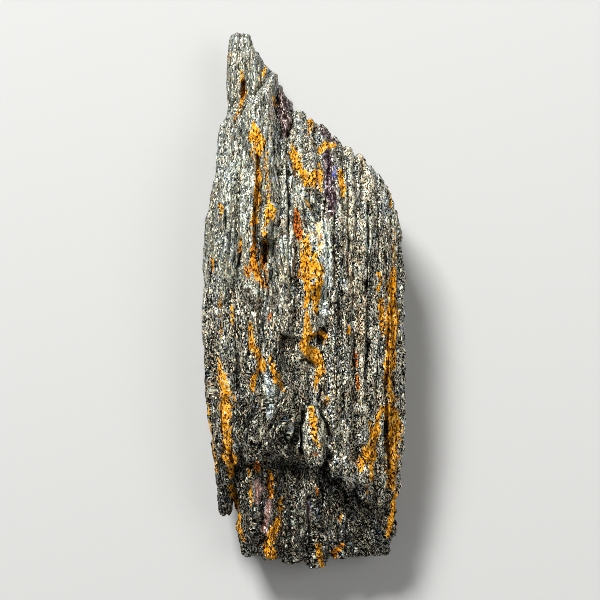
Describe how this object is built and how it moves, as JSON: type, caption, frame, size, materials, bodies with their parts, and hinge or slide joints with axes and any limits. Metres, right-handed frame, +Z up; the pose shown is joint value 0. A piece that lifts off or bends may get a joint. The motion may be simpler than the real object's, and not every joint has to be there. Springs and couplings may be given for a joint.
{
  "type": "hematite mineral specimen",
  "caption": "Splintery hand specimen of iridescent micaceous hematite: a slab of long parallel blades with a horn at the tip and a broken foot.",
  "frame": {"origin": "middle of the footprint's bounding box, on the resting plane under the stone's back", "axes": "+Y from the broken foot to the horn at the tip, +Z up through the face that shows the columns"},
  "size_m": [0.0664, 0.1748, 0.0399],
  "materials": {
    "hematite": "silver-grey micaceous flakes with a metallic sparkle, ochre crust in the cracks and small purple and blue iridescent patches"
  },
  "bodies": {
    "root": {"hematite_stone": "hematite"}
  },
  "joints": []
}
